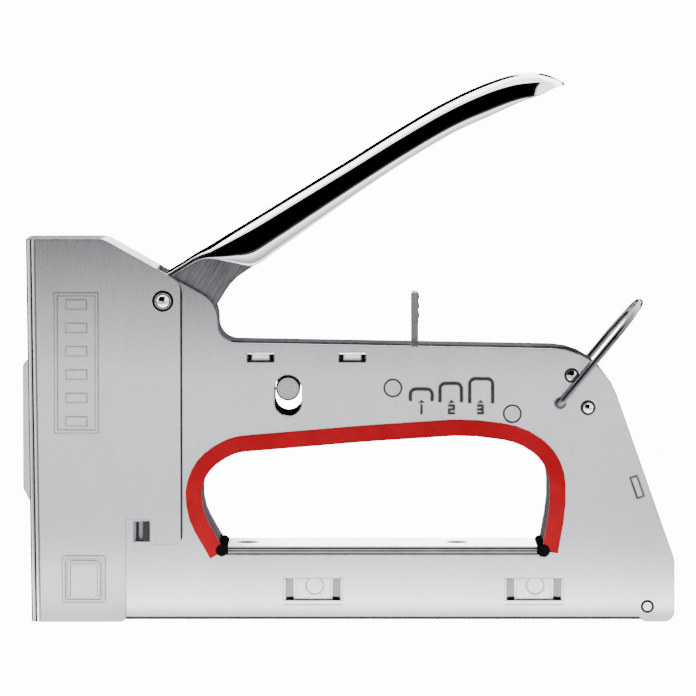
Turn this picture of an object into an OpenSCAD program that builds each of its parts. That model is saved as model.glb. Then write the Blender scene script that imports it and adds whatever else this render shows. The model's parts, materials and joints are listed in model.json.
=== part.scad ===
// All-steel staple gun (hand tacker). Millimetres, +X from the nose to the heel, +Z up,
// origin at the middle of the length and width, on the ground.

/* [Body] */
// Clear width between the two side plates
body_gap = 23.2; // [23:0.1:23.6]
// Thickness of a side plate
plate_t = 1.2; // [1:0.1:1.3]
// Thickness of the folded nose cover
cover_t = 1; // [0.8:0.1:1.1]
// Lean of the nose's front face
nose_rake = 0.68; // [0.3:0.02:1]
// Outer bend radius of the nose cover
cover_bend = 2.7; // [2:0.1:3.2]
// Height of the raised marks on the plates and the cover
mark_h = 0.3; // [0.1:0.05:0.4]
// How far the two low bridges are pressed in
bridge_depth = 2; // [1.6:0.1:2.2]

/* [Hand opening] */
// Width of the red trim on the plate's face
trim_w = 4.2; // [4:0.1:4.6]
// Thickness of the red trim
trim_t = 0.9; // [0.7:0.05:1]
// Thickness of the strap that closes the opening between the plates
strap_t = 1.2; // [0.8:0.1:1.4]

/* [Lever] */
// Travel of the lever in degrees
lever_travel = 30; // [20:1:30]
// Half width of the lever's shell
lever_half_w = 11.2; // [10.9:0.1:11.2]
// Sheet thickness of the lever's shell
shell_t = 0.9; // [0.7:0.05:0.9]
// Thickness of a lever cheek
cheek_t = 1.2; // [1:0.1:1.3]
// Radius of the riveted lever pin
lever_pin_r = 2.5; // [2.3:0.1:2.6]

/* [Force selector] */
// Travel of the selector from 1 to 3
selector_travel = 15.6; // [10:0.1:15.6]
// Travel of the force pin, downwards
force_travel = 3.7; // [2:0.1:3.7]
// Radius of the force pin
force_pin_r = 3.2; // [3:0.05:3.25]

/* [Lock bail] */
// Diameter of the bail's wire
bail_wire = 1.8; // [1.5:0.1:1.9]
// Reach of the bail from its pivot to its end
bail_reach = 34.6; // [33:0.1:35]
// Angle of the bail above +X at rest
bail_angle = 50.4; // [45:0.1:60]

/* [Magazine] */
// Outer width of a staple's crown
staple_w = 11.4; // [11:0.1:11.4]
// Leg length of the staples that are loaded
staple_leg = 8; // [6:0.5:8]
// Wire thickness of a staple
staple_wire = 0.75; // [0.7:0.05:0.8]
// Length of the loaded strip
strip_len = 60; // [20:5:60]

/* [Fits] */
// Radial running clearance of a bore on its pin
fit = 0.06; // [0.03:0.01:0.1]
// Gap between parts that slide past each other
slide_gap = 0.3; // [0.2:0.05:0.35]

/* [Hidden] */

$fn = 48;
steel = [0.72, 0.73, 0.75];
dark_steel = [0.45, 0.46, 0.48];
chrome = [0.86, 0.87, 0.88];
red = [0.78, 0.1, 0.12];
black = [0.08, 0.08, 0.09];

// Layers across the width, as distances from the middle plane.
y_in = body_gap / 2;
y_out = y_in + plate_t;
y_cover = y_out + cover_t;

// Side outlines: [x, z, corner radius].
nose_top = 100.8;
nose_front = -83.5;
slope_start = -64.1;
slope = 0.559;
function slope_z(x) = nose_top - slope * (x - slope_start);
cover_rear = -43.6;
cover_outline = [
    [-95, 0, 0], [-95, nose_top, 0], [slope_start, nose_top, 4],
    [cover_rear, slope_z(cover_rear), 5], [cover_rear, 20.3, 2.4],
    [-52.1, 20.3, 0.3], [-52.1, 27, 0.5], [-58.4, 27, 0.5], [-58.4, 0, 1.5]
];
cover_flange_end = -50.2;
flange_drop = cover_t * sqrt(1 + slope * slope);
plate_outline = [
    [-80.7, 0.6, 0], [-81.8, nose_top - cover_t - 0.3, 1],
    [slope_start - 0.4, nose_top - cover_t - 0.3, 4],
    [cover_flange_end + 0.1, slope_z(cover_flange_end) - flange_drop - 0.4, 0],
    [cover_flange_end + 0.5, slope_z(cover_flange_end + 0.5), 0], [-34.2, slope_z(-34.2), 8],
    [-34.2, 73.6, 5], [66.5, 71.8, 18], [86, 16.5, 6], [86, 0, 2.6], [78.2, 0, 1.2],
    [77.2, 0.6, 0.5]
];
// Edge of the hand opening from its lower front end, over the top, to its lower rear end.
opening = [
    [-32.6, 18.8, 0], [-38, 28.2, 13], [-39.2, 38.9, 10.6], [-29.7, 44.7, 10.8], [5, 47.6, 80],
    [30.8, 49.3, 30], [44.8, 47.6, 16.8], [52.7, 41.6, 11], [53.3, 31.4, 39], [51.1, 18.8, 0]
];
opening_floor = 17.7;
// Rolled ends of the strap, at the lower ends of the opening: place, radius.
curls = [[[-33.2, 18.9], 1.5], [[51.5, 18.8], 1.6]];

// Holes and marks in the side plates.
lever_at = [-48.6, 84.6];
top_slots = [-22.95, 1.15];
top_slot_z = 69.75;
top_slot_size = [7.1, 2.5];
rear_slot = [76.1, 35.6];
rear_slot_size = [2.2, 6];
rear_lean = 19.4;
rivets_at = [[11.8, 61.7], [43.2, 54.9]];
rivet_r = 2.25;
force_at = [-15.75, 61.55];
force_slot_r = force_pin_r + 0.35;
bail_at = [55.8, 57.7];
heel_at = [78.9, 4];
heel_pin_r = 1.45;
bridges_at = [-9.2, 49];
bridge_flat = 9.2;
bridge_ramp = 3.15;
bridge_z = [5.6, 12.5];
weld_at = [0.4, 9.3];
weld_r = 2.3;
weld_deep = 0.3;
window_x = -56.4;
hook_x = [-54, -52.3];
hook_z = [21.2, 26.4];
// Domed rivets beside the bail: place, height of the dome.
studs = [[[58.8, 65], 0.5], [[63.1, 56.5], 1.7]];
stud_r = 1.75;
stud_shank_r = 1.2;

// Hammer, driven by the lever's forks.
hammer_x = -74.8;
fork_arm = lever_at[0] - hammer_x;
hammer_lift = 2 * fork_arm * tan(lever_travel / 2);
hammer_pin_z = lever_at[1] - hammer_lift / 2;
hammer_pin_r = 2;
ear_y = [6.9, 8.4];
cheek_out = lever_half_w - shell_t - 0.1;
cheek_in = cheek_out - cheek_t;
hammer_z = [40, 52];
spring_r = 5.7;
spring_wire = 2;
spring_top = 97.2;
blade_x = [-81.2, -80.4];
blade_half_w = 5.75;

// Magazine.
staple_low = 1.2;
staple_top = staple_low + staple_leg + staple_wire;
track_half = staple_w / 2 + slide_gap;
track_t = 1;
track_front = -79.9;
track_rear = 76;
rail_half = staple_w / 2 - staple_wire - 0.35;
rail_t = 0.8;
rail_z = [1, 8.2];
rod_z = 5.4;
rod_r = 1;
pusher_len = 14;
pusher_x = track_front + strip_len + slide_gap;

// ---------- outline helpers ----------

function unit(v) = v / norm(v);
function cross2(a, b) = a[0] * b[1] - a[1] * b[0];
function left_of(v) = [-v[1], v[0]];
function flat(p) = [p[0], p[1]];
function reverse(list) = [for (i = [len(list) - 1:-1:0]) list[i]];

// Points of the arc that rounds the corner q of the path p, q, s.
function corner_arc(p, q, s, r) =
    let (
        u = unit(p - q),
        v = unit(s - q),
        half = acos(max(-1, min(1, u * v))) / 2
    )
    r <= 0 || half > 89.5 ? [q] :
    let (
        c = q + unit(u + v) * r / sin(half),
        start = q + u * r / tan(half) - c,
        a0 = atan2(start[1], start[0]),
        swing = (180 - 2 * half) * (cross2(-u, v) > 0 ? 1 : -1),
        n = max(1, ceil(abs(swing) / 12))
    )
    [for (i = [0:n]) c + r * [cos(a0 + swing * i / n), sin(a0 + swing * i / n)]];

// A closed outline with its corners rounded.
function rounded(pts) =
    let (n = len(pts))
    [for (i = [0:n - 1])
        each corner_arc(flat(pts[(i + n - 1) % n]), flat(pts[i]), flat(pts[(i + 1) % n]), pts[i][2])];

// An open path with its inner corners rounded.
function rounded_path(pts) =
    let (n = len(pts))
    concat(
        [flat(pts[0])],
        [for (i = [1:n - 2]) each corner_arc(flat(pts[i - 1]), flat(pts[i]), flat(pts[i + 1]), pts[i][2])],
        [flat(pts[n - 1])]
    );

// An open path moved sideways by d, to the left of its direction.
function shifted(pts, d) =
    let (
        n = len(pts),
        side = [for (i = [0:n - 2]) left_of(unit(flat(pts[i + 1]) - flat(pts[i])))]
    )
    [for (i = [0:n - 1])
        let (
            a = side[max(0, i - 1)],
            b = side[min(n - 2, i)],
            p = flat(pts[i]) + d * (a + b) / (1 + a * b),
            bend = cross2(a, b) > 0 ? -1 : 1
        )
        [p[0], p[1], pts[i][2] > 0 ? max(0.05, pts[i][2] + bend * d) : 0]];

// A band along an open path, between two distances to its left.
function band(pts, d0, d1) =
    concat(rounded_path(shifted(pts, d1)), reverse(rounded_path(shifted(pts, d0))));

// ---------- solid helpers ----------

// A side outline made into a slab between two places across the width.
module slab(points, y0, y1) {
    translate([0, y1, 0])
        rotate([90, 0, 0])
            linear_extrude(y1 - y0)
                polygon(points);
}

// A rod across the width.
module cross_rod(at, r, y0, y1) {
    translate([at[0], y0, at[1]])
        rotate([-90, 0, 0])
            cylinder(r = r, h = y1 - y0);
}

// A block given by its limits along each axis.
module block(x, y, z) {
    translate([x[0], y[0], z[0]])
        cube([x[1] - x[0], y[1] - y[0], z[1] - z[0]]);
}

// Both halves of what is drawn on the +Y side.
module both_sides() {
    children();
    mirror([0, 1, 0])
        children();
}

// A closed skin over rings of points, with flat ends.
module skin(rings) {
    n = len(rings[0]);
    last = len(rings) - 1;
    polyhedron(
        points = [for (ring = rings) each ring],
        faces = concat(
            [[for (i = [0:n - 1]) n - 1 - i]],
            [for (k = [0:last - 1], i = [0:n - 1])
                [k * n + i, k * n + (i + 1) % n, (k + 1) * n + (i + 1) % n]],
            [for (k = [0:last - 1], i = [0:n - 1])
                [k * n + i, (k + 1) * n + (i + 1) % n, (k + 1) * n + i]],
            [[for (i = [0:n - 1]) last * n + i]]
        )
    );
}

// A coil spring along +Z from the origin.
module coil(length, r, wire, turns, steps, sides) {
    count = turns * steps;
    pitch_angle = atan2(length - wire, 2 * PI * r * turns);
    skin([for (i = [0:count])
        let (a = 360 * i / steps, z = wire / 2 + (length - wire) * i / count)
        [for (j = [0:sides - 1])
            let (
                b = -360 * j / sides,
                out = r + wire / 2 * cos(b),
                up = wire / 2 * sin(b)
            )
            [out * cos(a) + up * sin(pitch_angle) * sin(a),
             out * sin(a) - up * sin(pitch_angle) * cos(a),
             z + up * cos(pitch_angle)]]]);
}

// ---------- side plates ----------

// The edge of the plates' hole, inside the trim's wall.
hand_hole = let (edge = rounded_path(shifted(opening, trim_t)), n = len(edge))
    concat([[edge[0][0], opening_floor]], edge, [[edge[n - 1][0], opening_floor]]);

module force_slot(y0, y1) {
    cross_rod(force_at, force_slot_r, y0, y1);
    cross_rod(force_at - [0, force_travel], force_slot_r, y0, y1);
    block(
        [force_at[0] - force_slot_r, force_at[0] + force_slot_r], [y0, y1],
        [force_at[1] - force_travel, force_at[1]]
    );
}

// A bridge that is pressed in and open along its lower edge, with a round weld mark.
module bridge(x) {
    half = bridge_flat / 2;
    foot = half + bridge_ramp;
    y_low = y_out - bridge_depth;
    difference() {
        translate([x, 0, bridge_z[0]])
            linear_extrude(bridge_z[1] - bridge_z[0])
                polygon([
                    [-foot, y_out], [-half, y_low], [half, y_low], [foot, y_out],
                    [foot, y_in], [half, y_low - plate_t], [-half, y_low - plate_t], [-foot, y_in]
                ]);
        cross_rod([x, 0] + weld_at, weld_r, y_low - weld_deep, y_out);
    }
    translate([x, 0, bridge_z[1] - plate_t])
        linear_extrude(plate_t)
            polygon([[-foot, y_out], [-half, y_low - 0.1], [half, y_low - 0.1], [foot, y_out]]);
}

module bridge_window(x) {
    foot = bridge_flat / 2 + bridge_ramp;
    block([x - foot, x + foot], [y_in - 1, y_out + 1], bridge_z);
}

module side_plate() {
    difference() {
        slab(rounded(plate_outline), y_in, y_out);
        slab(hand_hole, y_in - 1, y_out + 1);
        for (c = curls)
            cross_rod(c[0], c[1] + 0.1, y_in - 1, y_out + 1);
        force_slot(y_in - 1, y_out + 1);
        cross_rod(lever_at, lever_pin_r, y_in - 1, y_out + 1);
        cross_rod(heel_at, heel_pin_r, y_in - 1, y_out + 1);
        cross_rod(bail_at, bail_wire / 2 + fit, y_in - 1, y_out + 1);
        cross_rod(bail_at, 1.5, y_out - 0.5, y_out + 1);
        for (p = rivets_at)
            cross_rod(p, rivet_r, y_in - 1, y_out + 1);
        for (s = studs)
            cross_rod(s[0], stud_shank_r, y_in - 1, y_out + 1);
        for (x = top_slots)
            translate([x, (y_in + y_out) / 2, top_slot_z])
                cube([top_slot_size[0], 2 * plate_t, top_slot_size[1]], center = true);
        translate([rear_slot[0], (y_in + y_out) / 2, rear_slot[1]])
            rotate([0, -rear_lean, 0])
                cube([rear_slot_size[0], 2 * plate_t, rear_slot_size[1]], center = true);
        block([window_x, hook_x[0]], [y_in - 1, y_out + 1], hook_z);
        for (x = bridges_at)
            bridge_window(x);
    }
    for (x = bridges_at)
        bridge(x);
    block(hook_x, [y_out - 0.2, y_out + 0.8], hook_z);
}

// Outlines of three staples, of growing size, and their numbers, raised on the plate.
staple_marks = [[16, 22.5, 58.3, 61.8], [23.8, 30.2, 58, 63.3], [31.6, 38.4, 57.7, 64.5]];
staple_mark_line = 0.75;
staple_mark_r = 1.8;
number_x = [19.3, 27.2, 34.8];
number_z = 54.8;
number_size = [1.7, 2.5];
number_line = 0.5;
pointer_z = 3;
pointer_size = [1.5, 0.7];

// A number 1, 2 or 3 of straight strokes, with a small pointer above it.
module number_mark(value) {
    w = number_size[0];
    h = number_size[1];
    line = number_line;
    face = [y_out - 0.1, y_out + mark_h];
    wing = pointer_size[0] / 2;
    slab(
        [[-wing, pointer_z], [wing, pointer_z], [0, pointer_z + pointer_size[1]]],
        face[0], face[1]
    );
    if (value == 1)
        block([-line / 2, line / 2], face, [0, h]);
    if (value > 1) {
        low_side = value == 2 ? -w / 2 : w / 2 - line;
        for (z = [0, (h - line) / 2, h - line])
            block([-w / 2, w / 2], face, [z, z + line]);
        block([w / 2 - line, w / 2], face, [h / 2, h]);
        block([low_side, low_side + line], face, [0, h / 2]);
    }
}

module plate_marks() {
    for (m = staple_marks)
        slab(
            band(
                [[m[0], m[2], 0], [m[0], m[3], staple_mark_r], [m[1], m[3], staple_mark_r], [m[1], m[2], 0]],
                -staple_mark_line, 0
            ),
            y_out - 0.1, y_out + mark_h
        );
}

module left_side_plate() {
    color(steel)
        mirror([0, 1, 0]) {
            side_plate();
            plate_marks();
            for (i = [0:2])
                translate([number_x[i], 0, number_z])
                    number_mark(i + 1);
        }
}

module right_side_plate() {
    color(steel)
        side_plate();
}

// ---------- nose ----------

// The nose's plan shape, leaning back with its front face, set in by a distance.
module nose_bar(inset) {
    half = y_cover - inset;
    bend = max(0.3, cover_bend - inset);
    translate([nose_front + inset, 0, 0])
        rotate([0, -nose_rake, 0])
            translate([0, 0, -5])
                linear_extrude(nose_top + 15)
                    polygon(rounded([
                        [0, -half, bend], [60, -half, 0], [60, half, 0], [0, half, bend]
                    ]));
}

// The hollow's outline: under the top and the slope, open to the rear and below.
cover_hollow = [
    [-95, -5], [-95, nose_top - cover_t],
    [slope_start - (flange_drop - cover_t) / slope, nose_top - cover_t],
    [cover_flange_end, slope_z(cover_flange_end) - flange_drop], [cover_flange_end, nose_top + 5],
    [-20, nose_top + 5], [-20, -5]
];

frame_mark = [[-75.2, 5.2], [-63.9, 17.5]];
panel_mark = [[-77.1, 49.9], [-65.6, 86.8]];
panel_bars = 6;
mark_line = 0.8;

// A raised rectangular line on the cover's side.
module raised_frame(low, high, r, line) {
    difference() {
        slab(rounded([
            [low[0], low[1], r], [high[0], low[1], r], [high[0], high[1], r], [low[0], high[1], r]
        ]), y_cover - 0.1, y_cover + mark_h);
        slab(rounded([
            [low[0] + line, low[1] + line, r / 2], [high[0] - line, low[1] + line, r / 2],
            [high[0] - line, high[1] - line, r / 2], [low[0] + line, high[1] - line, r / 2]
        ]), y_cover - 1, y_cover + 1);
    }
}

module cover_marks() {
    raised_frame(frame_mark[0], frame_mark[1], 1, mark_line);
    raised_frame(panel_mark[0], panel_mark[1], 0, mark_line);
    inner = [frame_mark[0] + [1.3, 1.6], frame_mark[1] - [1.3, 1.3]];
    slab(
        band([
            [inner[0][0], inner[0][1], 0], [inner[0][0], inner[1][1], 1.2],
            [inner[1][0], inner[1][1], 1.2], [inner[1][0], inner[0][1], 0]
        ], -mark_line, 0),
        y_cover - 0.1, y_cover + mark_h
    );
    step = (panel_mark[1][1] - panel_mark[0][1]) / panel_bars;
    for (i = [0:panel_bars - 1])
        block(
            [panel_mark[0][0] + 3, panel_mark[1][0] - 3], [y_cover - 0.1, y_cover + mark_h],
            [panel_mark[0][1] + (i + 0.3) * step, panel_mark[0][1] + (i + 0.7) * step]
        );
}

rib_half_w = 4.5;
rib_outline = [
    [-82.9, 31, 0], [-84.2, 31, 1], [-86, 34.5, 2], [-86, 68.6, 2], [-83.4, 68.6, 0]
];

module nose_cover() {
    color(steel) {
        difference() {
            intersection() {
                nose_bar(0);
                slab(rounded(cover_outline), -y_cover - 1, y_cover + 1);
            }
            intersection() {
                nose_bar(cover_t);
                slab(cover_hollow, -y_out, y_out);
            }
            cross_rod(lever_at, lever_pin_r, -y_cover - 1, y_cover + 1);
        }
        slab(rounded(rib_outline), -rib_half_w, rib_half_w);
        both_sides()
            cover_marks();
    }
}

// A domed head on a side, standing out from y0 by its height.
module dome(at, r, y0, h) {
    ball = (r * r + h * h) / (2 * h);
    translate([at[0], y0, at[1]])
        rotate([-90, 0, 0])
            intersection() {
                translate([0, 0, h - ball])
                    sphere(r = ball);
                cylinder(r = r, h = h + 1);
            }
}

module lever_pin() {
    color(chrome) {
        cross_rod(lever_at, lever_pin_r, -y_cover - 0.3, y_cover + 0.3);
        both_sides() {
            cross_rod(lever_at, lever_pin_r + 0.15, y_cover, y_cover + 0.5);
            dome(lever_at, 1.8, y_cover + 0.5, 0.9);
        }
    }
}

guide_x = [-82.2, -81.4, -80];
guide_half_w = 11.3;
guide_low = 0.8;
guide_high = 60;
guide_rail_high = 30;

module driver_guide() {
    color(dark_steel) {
        block([guide_x[0], guide_x[1]], [-guide_half_w, guide_half_w], [guide_low, guide_high]);
        both_sides()
            block(
                [guide_x[1], guide_x[2]], [blade_half_w + slide_gap, guide_half_w],
                [guide_low, guide_rail_high]
            );
    }
}

spring_cap_x = [-81.2, -67];
spring_spigot = 6;
spigot_r = 3.4;

module spring_cap() {
    color(dark_steel) {
        block(spring_cap_x, [-y_in, y_in], [spring_top, nose_top - cover_t - 0.3]);
        translate([hammer_x, 0, spring_top - spring_spigot])
            cylinder(r = spigot_r, h = spring_spigot + 1);
    }
}

shelf_x = [-79.8, -66];
shelf_z = [32.4, 34];
bumper_len = 11.3;
bumper_half_w = 6.4;

module bumper_shelf() {
    color(dark_steel)
        block(shelf_x, [-y_in, y_in], shelf_z);
}

module bumper() {
    color(black)
        block(
            [shelf_x[0], shelf_x[0] + bumper_len], [-bumper_half_w, bumper_half_w],
            [shelf_z[1], hammer_z[0] - 0.2]
        );
}

// ---------- spines, rivets, pins ----------

spine_t = 1.5;
spine_x = [-29, 50];
spine_tab = 6.2;
spine_slot_start = 16.2;
spine_slot_end = 19;
spine_slot_half_w = 3.4;
rear_spine_z = [-18.5, 23];
rear_tab = 5.4;

module top_spine() {
    z = [top_slot_z - spine_t / 2, top_slot_z + spine_t / 2];
    color(steel)
        difference() {
            union() {
                block(spine_x, [-y_in, y_in], z);
                for (x = top_slots)
                    block([x - spine_tab / 2, x + spine_tab / 2], [-y_out, y_out], z);
            }
            block(
                [spine_slot_start, spine_slot_end + selector_travel],
                [-spine_slot_half_w, spine_slot_half_w], z + [-1, 1]
            );
        }
}

module rear_spine() {
    half = spine_t / 2;
    color(steel)
        translate([rear_slot[0], 0, rear_slot[1]])
            rotate([0, -rear_lean, 0]) {
                block([-half, half], [-y_in, y_in], rear_spine_z);
                block([-half, half], [-y_out, y_out], [-rear_tab / 2, rear_tab / 2]);
            }
}

spacer_r = 2.9;

module spacer_rivets() {
    color(dark_steel)
        for (p = rivets_at) {
            cross_rod(p, rivet_r, -y_out - 0.1, y_out + 0.1);
            cross_rod(p, spacer_r, -y_in, y_in);
        }
}

module bail_studs() {
    color(chrome)
        for (s = studs)
            both_sides() {
                cross_rod(s[0], stud_shank_r, y_in - 0.6, y_out + 0.1);
                dome(s[0], stud_r, y_out, s[1]);
            }
}

heel_pin_in = 6.9;

// A short pin in each plate's heel, clear of the magazine's rod.
module heel_pin() {
    color(dark_steel)
        both_sides()
            cross_rod(heel_at, heel_pin_r, heel_pin_in, y_out + 0.1);
}

// ---------- hand opening ----------

strap_half_w = y_in - 0.1;

module hand_strap() {
    color(dark_steel) {
        slab(band(opening, 0, strap_t), -strap_half_w, strap_half_w);
        for (c = curls)
            cross_rod(c[0], c[1], -y_out - trim_t - 0.1, y_out + trim_t + 0.1);
    }
}

module grip_trim() {
    color(red)
        difference() {
            union() {
                slab(band(opening, 0, trim_w), y_out, y_out + trim_t);
                slab(band(opening, 0, trim_t), y_in, y_out + trim_t / 2);
            }
            for (c = curls)
                cross_rod(c[0], c[1] + 0.05, 0, y_cover + 1);
        }
}

module grip_trim_left() {
    mirror([0, 1, 0])
        grip_trim();
}

module grip_trim_right() {
    grip_trim();
}

beam_top = 19.8;
beam_low = 12.8;
beam_x = [-31.6, 49.8];
beam_holes = [-26.6, 28.9];
beam_hole_r = 2.9;
beam_plate_t = 1.1;
beam_wall = 1.1;
beam_inset = 0.5;

// A top plate on a narrower channel, with two round holes.
module beam_cap() {
    half = y_in - beam_inset;
    color(chrome)
        difference() {
            union() {
                block(beam_x, [-y_in, y_in], [beam_top - beam_plate_t, beam_top]);
                block(beam_x, [-half, half], [beam_low, beam_top]);
            }
            block(
                [beam_x[0] - 1, beam_x[1] + 1], [beam_wall - half, half - beam_wall],
                [beam_low - 1, beam_top - beam_plate_t]
            );
            for (x = beam_holes)
                translate([x, 0, beam_top - 2 * beam_plate_t])
                    cylinder(r = beam_hole_r, h = 3 * beam_plate_t);
        }
}

// ---------- lever ----------

// Stations along the lever: ridge x, z; lower edge x, z; half width; corner radius.
shell_stations = [
    [-48, 91.8, -47.6, 90.4, 1, 0.5], [-43.9, 94.3, -43.3, 92.9, 1, 0.5],
    [-40.5, 96.5, -39.8, 95, 1, 0.6], [-37, 98.5, -36.2, 95.7, 1, 1.6],
    [-32, 101.6, -30.2, 94.6, 1, 3.5], [-26.7, 104.8, -24.6, 93.8, 1, 4.5],
    [-21.3, 108.1, -18.4, 97.9, 1, 5], [-13.7, 112.8, -9, 104.6, 1, 5], [0, 121.2, 4.5, 114.1, 1, 5],
    [11.9, 128.65, 16.5, 122, 1, 5], [24, 135.75, 27.8, 128.7, 1, 5], [34.5, 140.8, 37.5, 133.1, 1, 5],
    [43.5, 143.9, 45.3, 136.7, 0.98, 4.5], [49.5, 144.4, 50.5, 138.5, 0.9, 4],
    [53.3, 143.6, 53.6, 140.1, 0.74, 3], [56, 142.3, 56, 140.9, 0.5, 1.3],
    [57.1, 141.8, 57.1, 141, 0.26, 0.7]
];
steps_between = 3;

// A smooth curve through four values, at t between the two in the middle.
function smooth(a, b, c, d, t) =
    0.5 * (2 * b + (c - a) * t + (2 * a - 5 * b + 4 * c - d) * t * t + (3 * b - a - 3 * c + d) * t * t * t);

function shell_at(k, t) =
    let (n = len(shell_stations) - 1)
    smooth(
        shell_stations[max(0, k - 1)], shell_stations[k],
        shell_stations[k + 1], shell_stations[min(n, k + 2)], t
    );

// Half of the shell's cross-section, from its lower edge to the ridge: distance out, depth.
function half_section(w, deep, r) =
    concat([[w, deep]], [for (a = [0:22.5:90]) [w - r + r * cos(a), r - r * sin(a)]]);

function ring_at(s) =
    let (
        top = [s[0], s[1]],
        down = [s[2], s[3]] - top,
        deep = norm(down),
        dir = down / deep,
        w = s[4] * lever_half_w,
        t = min(shell_t, deep * 0.7),
        r = min(s[5], deep * 0.9),
        outer = half_section(w, deep, r),
        inner = [for (p = half_section(w - shell_t, deep - t, max(0.2, min(r, deep - t) - shell_t)))
            [p[0], p[1] + t]],
        loop = concat(
            outer, reverse([for (p = outer) [-p[0], p[1]]]),
            [for (p = inner) [-p[0], p[1]]], reverse(inner)
        )
    )
    [for (p = loop) [top[0] + dir[0] * p[1], p[0], top[1] + dir[1] * p[1]]];

module lever_shell() {
    color(chrome)
        skin(concat(
            [for (k = [0:len(shell_stations) - 2], i = [0:steps_between - 1])
                ring_at(shell_at(k, i / steps_between))],
            [ring_at(shell_stations[len(shell_stations) - 1])]
        ));
}

// Direction of the fork at rest, and the ends of its slot for the hammer's pins.
fork_dir = [-cos(lever_travel / 2), -sin(lever_travel / 2)];
fork_up = [fork_dir[1], -fork_dir[0]];
slot_near = fork_arm;
slot_far = fork_arm / cos(lever_travel / 2);
slot_half = hammer_pin_r + slide_gap;
function on_fork(along, up) = lever_at + along * fork_dir + up * fork_up;

cheek_outline = [
    [each on_fork(slot_far + 5, 4.4), 4.2], [each on_fork(9, 4.8), 3], [-45.6, 91.3, 2],
    [-40.5, 94.4, 3], [-24, 102.6, 4], [-10, 108.2, 1.5], [-10, 104.8, 0.5], [-20.5, 96.6, 3],
    [-30.4, 89.9, 14], [-36, 80.9, 3], [-37.6, 77.6, 3], [-45, 77.6, 3], [each on_fork(9, -4.6), 5],
    [each on_fork(slot_far + 5, -4.4), 4.2]
];

module lever_cheeks() {
    color(dark_steel)
        both_sides()
            difference() {
                slab(rounded(cheek_outline), cheek_in, cheek_out);
                cross_rod(lever_at, lever_pin_r + fit, cheek_in - 1, cheek_out + 1);
                cross_rod(on_fork(slot_near, 0), slot_half, cheek_in - 1, cheek_out + 1);
                cross_rod(on_fork(slot_far, 0), slot_half, cheek_in - 1, cheek_out + 1);
                slab([
                    on_fork(slot_near, slot_half), on_fork(slot_far, slot_half),
                    on_fork(slot_far, -slot_half), on_fork(slot_near, -slot_half)
                ], cheek_in - 1, cheek_out + 1);
            }
}

module lever_bush() {
    color(dark_steel)
        difference() {
            cross_rod(lever_at, 4.4, -cheek_in, cheek_in);
            cross_rod(lever_at, lever_pin_r + fit, -cheek_in - 1, cheek_in + 1);
        }
}

// ---------- hammer ----------

ear_half = 3.4;
hammer_block_x = [-80.2, -69.2];

module hammer_block() {
    color(dark_steel)
        difference() {
            union() {
                block(hammer_block_x, [-ear_y[1], ear_y[1]], hammer_z);
                both_sides()
                    block(
                        [hammer_x - ear_half, hammer_x + ear_half], ear_y,
                        [hammer_z[1] - 1, hammer_pin_z + ear_half]
                    );
            }
            cross_rod([hammer_x, hammer_pin_z], hammer_pin_r, -ear_y[1] - 1, ear_y[1] + 1);
            translate([hammer_x, 0, hammer_z[1] - 2])
                cylinder(r = spring_r + slide_gap, h = 4);
        }
}

module hammer_pins() {
    color(chrome)
        both_sides()
            cross_rod([hammer_x, hammer_pin_z], hammer_pin_r, ear_y[0], y_in - slide_gap);
}

module driver_blade() {
    color(dark_steel)
        block(blade_x, [-blade_half_w, blade_half_w], [0.8, hammer_z[1]]);
}

module main_spring() {
    low = hammer_z[1] - 1.9;
    color(dark_steel)
        translate([hammer_x, 0, low])
            coil(spring_top - 0.1 - low, spring_r - spring_wire / 2, spring_wire, 9, 16, 8);
}

// ---------- force selector ----------

tab_x = [16.7, 18.6];
tab_low = 78.4;
tab_top = 85.4;
tab_half_w = 6.5;
stem_half_w = 3;
tab_rib = 2.5;
tab_rib_r = 1.1;
bar_half_w = 1.5;
bar_top = top_slot_z - spine_t / 2 - slide_gap;
wedge_slope = force_travel / selector_travel;
wedge_z = force_at[1] + force_pin_r * sqrt(1 + wedge_slope * wedge_slope) + slide_gap;
bar_low = 65.35;
wedge_front = force_at[0] - selector_travel - 3.5;

module selector_bar() {
    flat_from = force_at[0] + (bar_low - wedge_z) / wedge_slope;
    color(dark_steel)
        slab([
            [wedge_front, wedge_z + (wedge_front - force_at[0]) * wedge_slope],
            [wedge_front, bar_top], [tab_x[1] + 3, bar_top], [tab_x[1] + 3, bar_low],
            [flat_from, bar_low]
        ], -bar_half_w, bar_half_w);
}

module force_selector() {
    color(steel) {
        block(tab_x, [-stem_half_w, stem_half_w], [bar_top, tab_low + 1]);
        block(tab_x, [-tab_half_w, tab_half_w], [tab_low, tab_top]);
        for (i = [0:2])
            cross_rod([tab_x[1] - 0.8, tab_top - i * tab_rib], tab_rib_r, -tab_half_w, tab_half_w);
    }
}

module force_pin() {
    color(steel)
        cross_rod(force_at, force_pin_r, -y_out, y_out);
}

// ---------- lock bail ----------

bail_half = y_out + 0.5 + 0.25 + bail_wire / 2;
bail_bend = 13.2;
leg_len = bail_reach - bail_wire / 2 - bail_bend;

// A quarter bend of the wire, from +X to +Y about its centre.
module wire_bend(r) {
    rotate_extrude(angle = 90)
        translate([r, 0])
            circle(r = bail_wire / 2, $fn = 24);
}

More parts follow.
